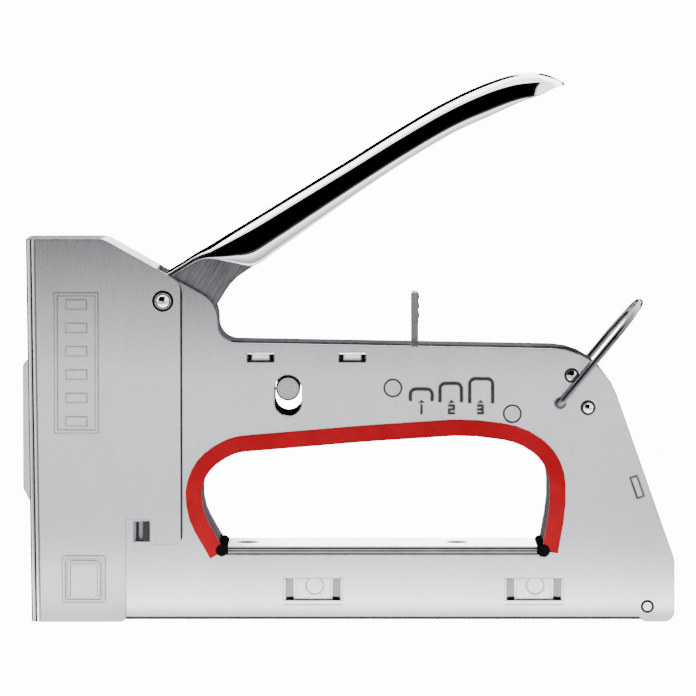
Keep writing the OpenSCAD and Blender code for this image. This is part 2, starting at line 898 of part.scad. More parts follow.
module lock_bail() {
    wire_r = bail_wire / 2;
    color(chrome)
        translate([bail_at[0], 0, bail_at[1]])
            rotate([0, -bail_angle, 0]) {
                both_sides() {
                    translate([1.2, bail_half, 0])
                        rotate([0, 90, 0])
                            cylinder(r = wire_r, h = leg_len - 1.2, $fn = 24);
                    translate([leg_len, bail_half - bail_bend, 0])
                        wire_bend(bail_bend);
                    translate([1.2, bail_half - 1.2, 0])
                        rotate([0, 0, 90])
                            wire_bend(1.2);
                    translate([0, y_in - 0.4, 0])
                        rotate([-90, 0, 0])
                            cylinder(r = wire_r, h = bail_half - 1.2 - y_in + 0.4, $fn = 24);
                }
                translate([leg_len + bail_bend, -bail_half + bail_bend, 0])
                    rotate([-90, 0, 0])
                        cylinder(r = wire_r, h = 2 * (bail_half - bail_bend), $fn = 24);
            }
}

// ---------- magazine ----------

module staple_channel() {
    inner_top = staple_top + 0.8;
    color(steel)
        difference() {
            block(
                [track_front, track_rear], [-track_half - track_t, track_half + track_t],
                [guide_low, inner_top + track_t]
            );
            block([track_front - 1, track_rear + 1], [-track_half, track_half], [-1, inner_top]);
        }
}

module track_spacers() {
    color(dark_steel)
        both_sides()
            for (x = bridges_at)
                block(
                    [x - bridge_flat / 2 + 0.5, x + bridge_flat / 2 - 0.5],
                    [track_half + track_t, y_out - bridge_depth - plate_t],
                    [bridge_z[0], bridge_z[0] + 5]
                );
}

module core_rail() {
    color(steel)
        difference() {
            block([track_front, track_rear], [-rail_half, rail_half], rail_z);
            block(
                [track_front - 1, track_rear + 1], [rail_t - rail_half, rail_half - rail_t],
                [rail_z[0] + rail_t, rail_z[1] + 1]
            );
        }
}

module staple_strip() {
    color(chrome)
        difference() {
            block(
                [track_front, track_front + strip_len], [-staple_w / 2, staple_w / 2],
                [staple_low, staple_top]
            );
            block(
                [track_front - 1, track_front + strip_len + 1],
                [-staple_w / 2 + staple_wire, staple_w / 2 - staple_wire], [0, staple_top - staple_wire]
            );
        }
}

module staple_pusher() {
    color(dark_steel)
        difference() {
            union() {
                difference() {
                    block([pusher_x, pusher_x + pusher_len], [-staple_w / 2, staple_w / 2],
                        [2.2, staple_top]);
                    block(
                        [pusher_x - 1, pusher_x + pusher_len + 1],
                        [-staple_w / 2 + staple_wire, staple_w / 2 - staple_wire], [0, 8.6]
                    );
                }
                block([pusher_x, pusher_x + pusher_len], [-3, 3], [3, 9]);
            }
            translate([pusher_x - 1, 0, rod_z])
                rotate([0, 90, 0])
                    cylinder(r = rod_r + fit, h = pusher_len + 2);
        }
}

end_x = [77.2, 85.6];
end_half_w = y_in - slide_gap;

module magazine_end() {
    color(black)
        difference() {
            slab(rounded([
                [end_x[0], 1, 0], [end_x[0], 14, 1], [end_x[1], 14, 3], [end_x[1], 1, 1.5]
            ]), -end_half_w, end_half_w);
            cross_rod(heel_at, heel_pin_r + 0.9, -y_in, y_in);
            block(
                [end_x[0] - 1, heel_at[0]], [-y_in, y_in],
                [heel_at[1] - heel_pin_r - 0.9, heel_at[1] + heel_pin_r + 0.9]
            );
        }
}

// Spring clips that line the slot for the heel pins, open to the front.
clip_y = [7.2, 10.8];
module latch_clip() {
    outer = heel_pin_r + 0.9;
    inner = heel_pin_r + slide_gap;
    color(steel)
        both_sides()
            difference() {
                union() {
                    cross_rod(heel_at, outer, clip_y[0], clip_y[1]);
                    block([end_x[0], heel_at[0]], clip_y, [heel_at[1] - outer, heel_at[1] + outer]);
                }
                cross_rod(heel_at, inner, clip_y[0] - 1, clip_y[1] + 1);
                block(
                    [end_x[0] - 1, heel_at[0]], clip_y + [-1, 1],
                    [heel_at[1] - inner, heel_at[1] + inner]
                );
            }
}

module guide_rod() {
    color(chrome)
        translate([pusher_x - 4, 0, 0])
            translate([0, 0, rod_z])
                rotate([0, 90, 0])
                    cylinder(r = rod_r, h = end_x[0] - pusher_x + 4);
}

module pusher_spring() {
    from = pusher_x + pusher_len + 0.1;
    color(dark_steel)
        translate([from, 0, rod_z])
            rotate([0, 90, 0])
                coil(end_x[0] - 0.3 - from, 2, 0.6, 26, 10, 5);
}

left_side_plate();
right_side_plate();
nose_cover();
lever_pin();
top_spine();
rear_spine();
spacer_rivets();
bail_studs();
heel_pin();
hand_strap();
grip_trim_left();
grip_trim_right();
beam_cap();
spring_cap();
bumper();
bumper_shelf();
driver_guide();
staple_channel();
track_spacers();
core_rail();
staple_strip();
main_spring();
lever_shell();
lever_cheeks();
lever_bush();
hammer_block();
hammer_pins();
driver_blade();
force_selector();
selector_bar();
force_pin();
lock_bail();
magazine_end();
guide_rod();
latch_clip();
staple_pusher();
pusher_spring();
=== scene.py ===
"""Looks of the staple gun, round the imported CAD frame.

A refined lever, copies of the springs, materials, floor, light and camera. Lengths are in millimetres,
and are turned into metres with MM where Blender takes them.
"""

import json
import math
from collections import namedtuple

import bmesh
import bpy
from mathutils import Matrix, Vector


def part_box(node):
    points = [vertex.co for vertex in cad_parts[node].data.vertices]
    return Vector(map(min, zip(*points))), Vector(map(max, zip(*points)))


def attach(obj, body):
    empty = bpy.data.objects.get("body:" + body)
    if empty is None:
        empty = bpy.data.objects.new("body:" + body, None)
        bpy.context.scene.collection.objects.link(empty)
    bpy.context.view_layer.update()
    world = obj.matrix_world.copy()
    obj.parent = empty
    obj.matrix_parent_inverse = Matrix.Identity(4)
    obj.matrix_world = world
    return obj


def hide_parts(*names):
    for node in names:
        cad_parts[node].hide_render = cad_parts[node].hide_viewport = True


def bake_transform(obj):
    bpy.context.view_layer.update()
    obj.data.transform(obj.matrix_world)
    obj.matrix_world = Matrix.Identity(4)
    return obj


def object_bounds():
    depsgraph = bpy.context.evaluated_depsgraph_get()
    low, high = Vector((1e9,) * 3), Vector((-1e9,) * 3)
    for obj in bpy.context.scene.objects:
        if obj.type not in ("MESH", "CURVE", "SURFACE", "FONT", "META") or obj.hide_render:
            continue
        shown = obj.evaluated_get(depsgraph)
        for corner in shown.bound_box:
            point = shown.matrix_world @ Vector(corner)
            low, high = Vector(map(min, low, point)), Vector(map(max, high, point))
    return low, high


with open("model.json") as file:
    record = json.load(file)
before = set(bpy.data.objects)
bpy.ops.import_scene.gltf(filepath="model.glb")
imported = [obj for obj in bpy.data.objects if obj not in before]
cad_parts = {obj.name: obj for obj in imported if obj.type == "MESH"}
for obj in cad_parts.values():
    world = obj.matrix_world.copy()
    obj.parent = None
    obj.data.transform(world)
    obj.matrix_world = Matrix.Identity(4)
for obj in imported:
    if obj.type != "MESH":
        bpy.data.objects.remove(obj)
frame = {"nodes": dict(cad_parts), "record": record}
CAD_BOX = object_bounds()
MM = 0.001
NODES = frame["nodes"]

# ---------- camera, in metres ----------

NEAR_FACE_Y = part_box("nose_cover")[0].y
VIEW_CENTRE_Z = 0.0723
VIEW_DISTANCE = 1.4
VIEW_WIDTH = 0.1827
VIEW_ELEVATION = 3.5
VIEW_CLIP = (0.01, 20)
SENSOR = 36.0


def make_camera():
    """A long lens, square on to the tool's left side and a little above it."""
    data = bpy.data.cameras.new("camera")
    data.sensor_width = SENSOR
    data.lens = SENSOR * VIEW_DISTANCE / VIEW_WIDTH
    data.clip_start, data.clip_end = VIEW_CLIP
    cam = bpy.data.objects.new("camera", data)
    bpy.context.scene.collection.objects.link(cam)
    angle = math.radians(VIEW_ELEVATION)
    back = Vector((0, -math.cos(angle), math.sin(angle)))
    target = Vector((0, NEAR_FACE_Y, VIEW_CENTRE_Z))
    cam.location = target + back * VIEW_DISTANCE
    cam.rotation_mode = "QUATERNION"
    cam.rotation_quaternion = (-back).to_track_quat("-Z", "Y")
    bpy.context.scene.camera = cam


make_camera()

# ---------- material helpers ----------

# Marks with a colour darker than this don't mirror.
DULL_BELOW = 0.2
RING_SOFT = 0.06
# An edge's mark is full and gone at these cosines between the face and its rounded edge.
EDGE_FULL = 0.95
EDGE_GONE = 0.999
EDGE_SAMPLES = 4
# Sockets of a Mix node that carry colours.
MIX_UNDER = 6
MIX_OVER = 7
MIX_RESULT = 2


class Shader:
    """A node material that is built up step by step.

    A mark is where it lies, then the colour that is laid there. It lies on bands that overlap, on rings
    round several places, or along edges. A band is an axis, a start, an end and how soft the ends are.
    """

    def __init__(self, name, **settings):
        self.material = bpy.data.materials.new(name)
        self.material.use_nodes = True
        self.tree = self.material.node_tree
        self.bsdf = self.tree.nodes["Principled BSDF"]
        for socket, value in settings.items():
            self.bsdf.inputs[socket.replace("_", " ")].default_value = value
        self.place = self.tree.nodes.new("ShaderNodeTexCoord")
        self.coords = self.place.outputs["Object"]
        self.base = None
        self.dull = None

    def add(self, kind, **settings):
        node = self.tree.nodes.new(kind)
        for key, value in settings.items():
            setattr(node, key, value)
        return node

    def link(self, a, b):
        self.tree.links.new(a, b)

    def stretched(self, scale, turn):
        """Object coordinates, turned in degrees and scaled to features per millimetre."""
        spin = self.add("ShaderNodeMapping")
        spin.inputs["Rotation"].default_value = [math.radians(a) for a in turn]
        self.link(self.coords, spin.inputs["Vector"])
        size = self.add("ShaderNodeMapping")
        size.inputs["Scale"].default_value = [s / MM for s in scale]
        self.link(spin.outputs["Vector"], size.inputs["Vector"])
        return size.outputs["Vector"]

    def noise(self, scale, detail, rough, turn=(0, 0, 0)):
        node = self.add("ShaderNodeTexNoise")
        node.inputs["Scale"].default_value = 1.0
        node.inputs["Detail"].default_value = detail
        node.inputs["Roughness"].default_value = rough
        self.link(self.stretched(scale, turn), node.inputs["Vector"])
        return node.outputs["Fac"]

    def spread(self, source, start, end, at_start=0, at_end=1):
        """A value mapped from one range to another, clamped."""
        node = self.add("ShaderNodeMapRange")
        for name, value in (
            ("From Min", start), ("From Max", end), ("To Min", at_start), ("To Max", at_end)
        ):
            node.inputs[name].default_value = value
        self.link(source, node.inputs["Value"])
        return node.outputs["Result"]

    def maths(self, operation, *values):
        node = self.add("ShaderNodeMath", operation=operation)
        for slot, value in zip(node.inputs, values):
            if isinstance(value, (int, float)):
                slot.default_value = value
            else:
                self.link(value, slot)
        return node.outputs[0]

    def tint(self, source, low, high):
        """Base colour that runs from low to high with a value from 0 to 1."""
        ramp = self.add("ShaderNodeValToRGB")
        ramp.color_ramp.elements[0].color = (*low, 1)
        ramp.color_ramp.elements[1].color = (*high, 1)
        self.link(source, ramp.inputs["Fac"])
        self.colour(ramp.outputs["Color"])

    def colour(self, source):
        self.base = source
        self.link(source, self.bsdf.inputs["Base Color"])

    def axis(self, name):
        """What a band is measured on.

        X and Z are places, Y is the distance from the middle, and top is the height over the line of the
        plates' top. Facing and up are how far the face looks along X, either way, and upwards.
        """
        split = self.add("ShaderNodeSeparateXYZ")
        source = self.place.outputs["Normal"] if name in ("facing", "up") else self.coords
        self.link(source, split.inputs["Vector"])
        if name == "facing":
            return self.maths("ABSOLUTE", split.outputs["X"])
        if name == "up":
            return split.outputs["Z"]
        if name == "top":
            fall = self.maths("MULTIPLY", split.outputs["X"], TOP_FALL)
            level = self.maths("DIVIDE", self.maths("ADD", split.outputs["Z"], fall), MM)
            return self.maths("SUBTRACT", level, TOP_AT)
        value = self.maths("DIVIDE", split.outputs[name], MM)
        return self.maths("ABSOLUTE", value) if name == "Y" else value

    def band(self, value, start, end, soft):
        """One inside a range of a value, zero outside it, with soft ends."""
        inner = self.spread(value, start - soft, start + soft)
        return self.maths("MULTIPLY", inner, self.spread(value, end - soft, end + soft, 1, 0))

    def ring(self, centres, axes, inner, outer):
        """One inside a ring round each of several places."""
        total = None
        a, b = (self.axis(letter) for letter in axes)
        for u, v in centres:
            du, dv = self.maths("SUBTRACT", a, u), self.maths("SUBTRACT", b, v)
            square = self.maths("ADD", self.maths("MULTIPLY", du, du), self.maths("MULTIPLY", dv, dv))
            mask = self.band(self.maths("SQRT", square), inner, outer, RING_SOFT)
            total = mask if total is None else self.maths("MAXIMUM", total, mask)
        return total

    def edges(self, radius, share):
        """The share along the edges of the piece, zero on its faces."""
        bevel = self.add("ShaderNodeBevel", samples=EDGE_SAMPLES)
        bevel.inputs["Radius"].default_value = radius * MM
        across = self.add("ShaderNodeVectorMath", operation="DOT_PRODUCT")
        self.link(bevel.outputs["Normal"], across.inputs[0])
        self.link(self.add("ShaderNodeNewGeometry").outputs["Normal"], across.inputs[1])
        mask = self.spread(across.outputs["Value"], EDGE_FULL, EDGE_GONE, 1, 0)
        return self.maths("MULTIPLY", mask, share)

    def overlap(self, bands):
        """One where all the bands overlap."""
        mask = None
        for letter, start, end, soft in bands:
            part = self.band(self.axis(letter), start, end, soft)
            mask = part if mask is None else self.maths("MULTIPLY", mask, part)
        return mask

    def lay(self, marks):
        """Lay the marks over the base colour. Dark ones don't mirror."""
        for where, *numbers, colour in marks:
            if where == "ring":
                mask = self.ring(*numbers)
            elif where == "edges":
                mask = self.edges(*numbers)
            else:
                mask = self.overlap(where)
            mix = self.add("ShaderNodeMix", data_type="RGBA")
            self.link(mask, mix.inputs["Factor"])
            self.link(self.base, mix.inputs[MIX_UNDER])
            mix.inputs[MIX_OVER].default_value = (*colour, 1)
            self.colour(mix.outputs[MIX_RESULT])
            if max(colour) < DULL_BELOW:
                self.dull = mask if self.dull is None else self.maths("MAXIMUM", self.dull, mask)

    def dull_dark_marks(self):
        if self.dull is not None:
            self.link(self.spread(self.dull, 0, 1, 1, 0), self.bsdf.inputs["Metallic"])

    def rough(self, source):
        self.link(source, self.bsdf.inputs["Roughness"])

    def bump(self, source, height):
        node = self.add("ShaderNodeBump")
        node.inputs["Distance"].default_value = height * MM
        node.inputs["Strength"].default_value = 1.0
        self.link(source, node.inputs["Height"])
        self.link(node.outputs["Normal"], self.bsdf.inputs["Normal"])


# Scales of noise, in features per millimetre along X, Y and Z.
CLOUDS = (0.05, 0.05, 0.02)
SMUDGES = (0.08, 0.08, 0.08)
SCRATCHES = (1.5, 12, 1.5)
WAVES = (0.12, 0.12, 0.12)
SCUFFS = (0.12, 0.12, 0.12)
PORES = (2.2, 2.2, 2.2)
SCRATCH_TURN = (0, 35, 20)
PORE_DEPTH = 0.012
GRAIN_SHARE = 0.45
SCRATCH_SHARE = 0.5
# Most of a noise's values lie in these ranges.
CALM = (0.35, 0.65)
WIDE = (0.3, 0.7)
UPPER = (0.35, 0.7)
SMUDGED = (0.55, 1.0)


def scaled(colour, factor):
    return [min(1, c * factor) for c in colour]


def brushed(name, colour, rough, grain, turn=(0, 0, 0), depth=0.004, tone=0.06, marks=()):
    """Metal with a fine grain along one direction, faint clouds and marks."""
    s = Shader(name, Metallic=1.0, Specular_IOR_Level=0.0)
    lines = s.noise(grain, detail=6, rough=0.7, turn=turn)
    clouds = s.noise(CLOUDS, detail=3, rough=0.55, turn=turn)
    lines_part = s.maths("MULTIPLY", lines, GRAIN_SHARE)
    mixed = s.maths("ADD", lines_part, s.maths("MULTIPLY", clouds, 1 - GRAIN_SHARE))
    s.tint(s.spread(mixed, *CALM), scaled(colour, 1 - tone), scaled(colour, 1 + tone))
    s.lay(marks)
    s.dull_dark_marks()
    s.rough(s.spread(lines, *WIDE, *rough))
    s.bump(lines, depth)
    return s.material


def polished(name, colour, rough, waviness=0.01, marks=()):
    """Mirror-bright plating with faint waves, hairline scratches and smudges."""
    s = Shader(name, Metallic=1.0, Specular_IOR_Level=0.0)
    smudge = s.noise(SMUDGES, detail=5, rough=0.6)
    scratch = s.noise(SCRATCHES, detail=4, rough=0.7, turn=SCRATCH_TURN)
    s.tint(smudge, scaled(colour, 0.96), colour)
    s.lay(marks)
    s.dull_dark_marks()
    worn = s.maths("ADD", smudge, s.maths("MULTIPLY", scratch, SCRATCH_SHARE))
    s.rough(s.spread(worn, *SMUDGED, *rough))
    s.bump(s.noise(WAVES, detail=2, rough=0.5), waviness)
    return s.material


def moulded(name, colour, rough=(0.38, 0.5), gloss=0.5, marks=()):
    """Plastic or rubber with a fine moulded texture, softened colour and a few scuffs."""
    s = Shader(name, Specular_IOR_Level=gloss)
    scuffs = s.noise(SCUFFS, detail=4, rough=0.65)
    s.tint(s.spread(scuffs, *UPPER), scaled(colour, 0.88), scaled(colour, 1.1))
    s.lay(marks)
    s.rough(s.spread(scuffs, *WIDE, *rough))
    s.bump(s.noise(PORES, detail=5, rough=0.6), PORE_DEPTH)
    return s.material


# ---------- places of the marks, from the frame ----------


def half_width(node):
    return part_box(node)[1].y / MM


def centre(node):
    """Middle of a node's box in the side view."""
    low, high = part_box(node)
    return (low.x + high.x) / 2 / MM, (low.z + high.z) / 2 / MM


def round_pair(node, radius):
    """The places of a node's two round pieces: front and high, rear and low."""
    low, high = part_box(node)
    reach = radius * MM
    front, rear = (low.x + reach) / MM, (high.x - reach) / MM
    return [(front, (high.z - reach) / MM), (rear, (low.z + reach) / MM)]


FAR_OUT = 200
PLATE_FACE = half_width("top_spine")
PLATE_INNER = half_width("beam_cap")
MARK_HIGH = 0.3
COVER_FACE = half_width("nose_cover") - MARK_HIGH
COVER_FRONT, COVER_REAR = (corner.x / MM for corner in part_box("nose_cover"))
BEND_DEEP = 6.5
# The plates' top line: its height at x = 0, and how far it falls per length.
TOP_AT = 72.99
TOP_FALL = 0.0179
TABS_X = (-22.95, 1.15)
BRIDGES_X = (-9.2, 49.0)
BRIDGE_HALF = 8.0
BRIDGE_FOOT = 5.0
BRIDGE_DEEP = 1.7
BEAM_HOLES = [(-26.6, 0), (28.9, 0)]
BEAM_HOLE_R = 2.93
PIVOT = centre("lever_pin")
HEEL = centre("heel_pin")
FORCE_PIN = centre("force_pin")
RIVETS = round_pair("spacer_rivets", 2.9)
STUDS = round_pair("bail_studs", 1.75)

# ---------- materials ----------

PLATE = (0.89, 0.905, 0.93)
PLATE_ROUGH = (0.2, 0.3)
PLATE_GRAIN = (9, 9, 0.12)
# Painted shade: the colours that the plates and the cover take towards their top and at their foot.
PLATE_TOP_PAINTED_SHADE = (0.205, 0.21, 0.225)
PLATE_FOOT_PAINTED_SHADE = (0.4, 0.41, 0.43)
COVER_FOOT_PAINTED_SHADE = (0.35, 0.36, 0.38)
# Colours of the marks. GLINT is a painted highlight. The grey, SHADED, DARK and BLACK mostly lay painted
# shade and painted reflections. The grey also makes the force pin's turned rings, and the joint colour also
# the dark joints round rivets and studs.
GLINT = (0.95, 0.96, 0.97)
TURNED_RING_GREY_AND_PAINTED_SHADE = (0.36, 0.37, 0.39)
SHADED = (0.22, 0.225, 0.24)
JOINT_DARK_AND_PAINTED_SHADE = (0.035, 0.035, 0.037)
DARK = (0.012, 0.012, 0.013)
BLACK = (0.002, 0.002, 0.002)


def tab_marks(x):
    """The end of a tab in its slot, in painted light: black painted shade round it, grey painted shade
    below, and a painted highlight in the middle.
    """
    outer = ("Y", PLATE_INNER, FAR_OUT, 0.1)
    slot = [outer, ("Z", 68.5, 71.0, 0.1), ("X", x - 3.5, x + 3.5, 0.1)]
    tab = [outer, ("Z", 69.0, 70.6, 0.1), ("X", x - 2.3, x + 2.3, 0.15)]
    middle = [outer, ("Z", 69.5, 70.6, 0.1), ("X", x - 2.0, x + 2.0, 0.15)]
    return (slot, BLACK), (tab, TURNED_RING_GREY_AND_PAINTED_SHADE), (middle, GLINT)


def bridge_marks(x):
    """The rolled lip below a pressed bridge: a painted highlight over a line of painted shade."""
    face = ("Y", PLATE_FACE - 0.3, FAR_OUT, 0.1)
    along = ("X", x - BRIDGE_HALF, x + BRIDGE_HALF, 0.5)
    bright = [("Z", BRIDGE_FOOT - 0.25, BRIDGE_FOOT + 0.45, 0.12), along, face]
    shaded = [("Z", BRIDGE_FOOT - 0.65, BRIDGE_FOOT - 0.4, 0.08), along, face]
    return (bright, GLINT), (shaded, SHADED)


def plated_plate():
    """Side plates and spines, with painted shade: darker towards the top and the foot, black between the
    plates, dark lines at the edges, and painted highlights at tabs and bridges.
    """
    # Painted shade towards the top and at the foot, and a dark line along the lower edge.
    upper = [("Z", 80, FAR_OUT, 16.0)]
    foot = [("Z", -FAR_OUT, 3.2, 1.5)]
    lower_edge = [("Z", -1, 1.3, 0.2), ("X", -FAR_OUT, 77.0, 0.3)]
    # Painted shade: black on the inner faces near the plates' top line.
    between_plates = [("Y", 0, PLATE_INNER + 0.1, 0.05), ("top", -0.85, FAR_OUT, 0.15)]
    # Painted shade in each pressed bridge, black in its gap.
    bridge = [("Y", PLATE_FACE - BRIDGE_DEEP, PLATE_FACE - 0.25, 0.1)]
    bridge_gap = [
        ("Y", PLATE_FACE - BRIDGE_DEEP, PLATE_FACE - 0.4, 0.1), ("Z", BRIDGE_FOOT, BRIDGE_FOOT + 1.5, 0.2)
    ]
    # Painted shade over the raised signs.
    raised_signs = [("Y", PLATE_FACE + 0.08, FAR_OUT, 0.04)]
    return brushed("plated_plate", PLATE, PLATE_ROUGH, PLATE_GRAIN, marks=(
        (upper, PLATE_TOP_PAINTED_SHADE),
        (foot, PLATE_FOOT_PAINTED_SHADE),
        (lower_edge, DARK),
        (between_plates, BLACK),
        (bridge, SHADED),
        (bridge_gap, BLACK),
        # Painted shade: dark lines along the sheet's edges.
        ("edges", 0.5, 0.9, DARK),
        *(mark for x in TABS_X for mark in tab_marks(x)),
        *(mark for x in BRIDGES_X for mark in bridge_marks(x)),
        (raised_signs, JOINT_DARK_AND_PAINTED_SHADE),
        # Dark joints round the rivets and studs, and a dark ring round the heel pin.
        ("ring", RIVETS, "XZ", 2.22, 2.5, JOINT_DARK_AND_PAINTED_SHADE),
        ("ring", STUDS, "XZ", 1.72, 2.0, JOINT_DARK_AND_PAINTED_SHADE),
        ("ring", [HEEL], "XZ", 1.4, 1.75, DARK),
    ))


# Lines of painted reflection down the nose's bend, from the front to the side: how far the face looks along
# X, and the colour.
BEND_LINES = (
    (0.8, 0.97, 0.02, DARK), (0.6, 0.76, 0.03, TURNED_RING_GREY_AND_PAINTED_SHADE), (0.42, 0.54, 0.02, DARK), (0.2, 0.36, 0.03, GLINT),
    (0.06, 0.13, 0.02, SHADED),
)


def plated_cover():
    """Nose cover: as the plates, with painted reflections in lines down its bend and dark outlines of
    painted shade.
    """
    # Painted shade towards the top and at the foot.
    upper = [("Z", 88, FAR_OUT, 22.0)]
    foot = [("Z", -FAR_OUT, 8, 6.0)]
    # Painted reflection: grey bands along both sides of the top.
    top_sides = [("Y", 9.5, FAR_OUT, 0.8), ("Z", 84, FAR_OUT, 0.4), ("up", 0.2, 2, 0.1)]
    # Painted shade on the raised signs' walls.
    raised_sides = [("Y", COVER_FACE + 0.05, COVER_FACE + MARK_HIGH - 0.05, 0.03)]
    bend = ("X", -FAR_OUT, COVER_FRONT + BEND_DEEP, 0.1)
    # Painted shade: a dark line along the rear edge.
    rear_edge = [("X", COVER_REAR - 0.5, FAR_OUT, 0.12)]
    return brushed("plated_cover", PLATE, PLATE_ROUGH, PLATE_GRAIN, marks=(
        (upper, PLATE_TOP_PAINTED_SHADE),
        (foot, COVER_FOOT_PAINTED_SHADE),
        (top_sides, SHADED),
        (raised_sides, JOINT_DARK_AND_PAINTED_SHADE),
        ("edges", 0.42, 0.85, DARK),
        *(([("facing", start, end, soft), bend], colour) for start, end, soft, colour in BEND_LINES),
        (rear_edge, DARK),
        ("ring", [PIVOT], "XZ", 2.35, 2.8, BLACK),
    ))


def bright_rivet():
    """Domed rivet heads, with black rings round the pivot and dark rings round the studs."""
    return polished("bright_rivet", (0.80, 0.80, 0.82), (0.08, 0.18), marks=(
        ("ring", [PIVOT], "XZ", 1.65, 1.95, BLACK),
        ("ring", [PIVOT], "XZ", 2.15, 2.7, BLACK),
        ("ring", STUDS, "XZ", 1.35, 1.9, DARK),
    ))


def flush_rivet():
    """Rivets ground flush with the plates, outlined by their joint."""
    return brushed("flush_rivet", PLATE, (0.3, 0.42), (1, 1, 1), depth=0.02, tone=0.12, marks=(
        ("ring", RIVETS, "XZ", 2.0, 2.35, JOINT_DARK_AND_PAINTED_SHADE),
        ("ring", [HEEL], "XZ", 1.15, 1.6, DARK),
    ))


def strap_grey():
    """Matt grey lining of the hand's opening, black at its curled ends."""
    curled_ends = [("Z", -FAR_OUT, 21.2, 0.3)]
    return moulded("strap_grey", (0.07, 0.07, 0.075), (0.8, 0.95), gloss=0.0, marks=(
        (curled_ends, (0.004, 0.004, 0.004)),
    ))


def red_trim():
    """Red moulded edge of the hand's opening, darker along its edges as painted shade."""
    return moulded("red_trim", (0.3, 0.001, 0.006), gloss=0.1, marks=(
        ("edges", 0.35, 0.5, (0.05, 0.0005, 0.001)),
    ))


def beam_bright():
    """Bright cap of the lower beam, with painted reflections as dark lines along its rolled side, and holes
    painted black as shade.
    """
    return polished("beam_bright", (0.82, 0.83, 0.84), (0.06, 0.16), marks=(
        ([("Z", 19.0, 19.45, 0.08)], DARK),
        ([("Z", 18.35, 18.75, 0.08)], BLACK),
        ([("Z", 17.5, 17.85, 0.1)], DARK),
        ("ring", BEAM_HOLES, "XY", 0, BEAM_HOLE_R, BLACK),
    ))


def lever_chrome():
    # Painted shade: dark lines along the lever's edges.
    return polished("lever_chrome", (0.85, 0.86, 0.87), (0.02, 0.06), marks=(("edges", 0.5, 0.8, DARK),))


def ground_steel():
    """Lever cheeks, with a coarse grain that runs along the lever, and black lines of painted shade along
    the edges.
    """
    return brushed(
        "ground_steel", (0.26, 0.265, 0.28), (0.3, 0.45), (3, 3, 0.1), turn=(0, -30, 0), depth=0.03,
        tone=0.6, marks=(("edges", 0.4, 0.8, BLACK),),
    )


def selector_steel():
    # Painted shade: black lines along the selector's edges.
    return brushed(
        "selector_steel", (0.34, 0.345, 0.36), (0.3, 0.5), (2.5, 2.5, 2.5), depth=0.03, tone=0.5,
        marks=(("edges", 0.35, 0.8, BLACK),),
    )


def turned_steel():
    """Force pin, with turned rings on its end."""
    return brushed("turned_steel", (0.65, 0.66, 0.68), (0.2, 0.35), (1, 1, 1), marks=(
        ("ring", [FORCE_PIN], "XZ", 0.75, 0.95, TURNED_RING_GREY_AND_PAINTED_SHADE),
        ("ring", [FORCE_PIN], "XZ", 1.5, 1.65, TURNED_RING_GREY_AND_PAINTED_SHADE),
        ("ring", [FORCE_PIN], "XZ", 2.2, 2.4, TURNED_RING_GREY_AND_PAINTED_SHADE),
        ("ring", [FORCE_PIN], "XZ", 2.75, 3.4, DARK),
    ))


MATERIALS = {
    "plated_plate": plated_plate(),
    "plated_cover": plated_cover(),
    "bright_rivet": bright_rivet(),
    "flush_rivet": flush_rivet(),
    "strap_grey": strap_grey(),
    "red_trim": red_trim(),
    "beam_bright": beam_bright(),
    "inner_steel": brushed("inner_steel", (0.40, 0.41, 0.43), (0.35, 0.5), (0.3, 6, 6)),
    "bumper_rubber": moulded("bumper_rubber", (0.03, 0.03, 0.03), (0.6, 0.8)),
    "staple_wire": brushed("staple_wire", (0.65, 0.66, 0.68), (0.25, 0.4), (2, 0.2, 0.2)),
    "spring_steel": brushed("spring_steel", (0.30, 0.30, 0.32), (0.3, 0.45), (3, 3, 3)),
    "lever_chrome": lever_chrome(),
    "ground_steel": ground_steel(),
    "selector_steel": selector_steel(),
    "turned_steel": turned_steel(),
    "bail_bright": polished("bail_bright", (0.13, 0.133, 0.14), (0.08, 0.2), waviness=0.03),
    "black_plastic": moulded("black_plastic", (0.03, 0.03, 0.03)),
}

# ---------- CAD nodes: materials and softened edges ----------

EDGE_ROUND = {
    "left_side_plate": 0.1, "right_side_plate": 0.1, "nose_cover": 0.1, "grip_trim_left": 0.35,
    "grip_trim_right": 0.35, "beam_cap": 0.3, "force_selector": 0.25, "lever_cheeks": 0.2,
    "hammer_block": 0.4, "magazine_end": 0.5, "staple_channel": 0.25, "force_pin": 0.2,
}
SHARP_ANGLE = 40


def soften_edges(obj, width):
    bevel = obj.modifiers.new("soft_edges", "BEVEL")
    bevel.width = width * MM
    bevel.segments = 2
    bevel.limit_method = "ANGLE"
    bevel.angle_limit = math.radians(SHARP_ANGLE)
    bevel.use_clamp_overlap = True


def finish_cad_nodes():
    for part in frame["record"]["subparts"]:
        obj = NODES[part["node"]]
        obj.data.materials.clear()
        obj.data.materials.append(MATERIALS[part["material_slot"]])
        if part["node"] in EDGE_ROUND:
            soften_edges(obj, EDGE_ROUND[part["node"]])


finish_cad_nodes()

# ---------- springs, copied ----------------

# Each spring's node, the body that it pushes, the body that it is seated in, and its axis: 0 is X, 2 is Z.
SPRINGS = (("main_spring", "hammer", "frame", 2), ("pusher_spring", "pusher", "magazine", 0))


def make_springs():
    """Copies of the springs, baked in place, that stand in for their hidden CAD nodes."""
    for node, pushed, seat, along in SPRINGS:
        source = NODES[node]
        mesh = source.data.copy()
        mesh.transform(source.matrix_world)
        spring = bpy.data.objects.new(node + "_soft", mesh)
        bpy.context.collection.objects.link(spring)
        low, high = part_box(node)
        start, end = (low + high) / 2, (low + high) / 2
        start[along], end[along] = low[along], high[along]
        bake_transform(spring)
        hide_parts(node)


make_springs()

# ---------- new pieces ----------


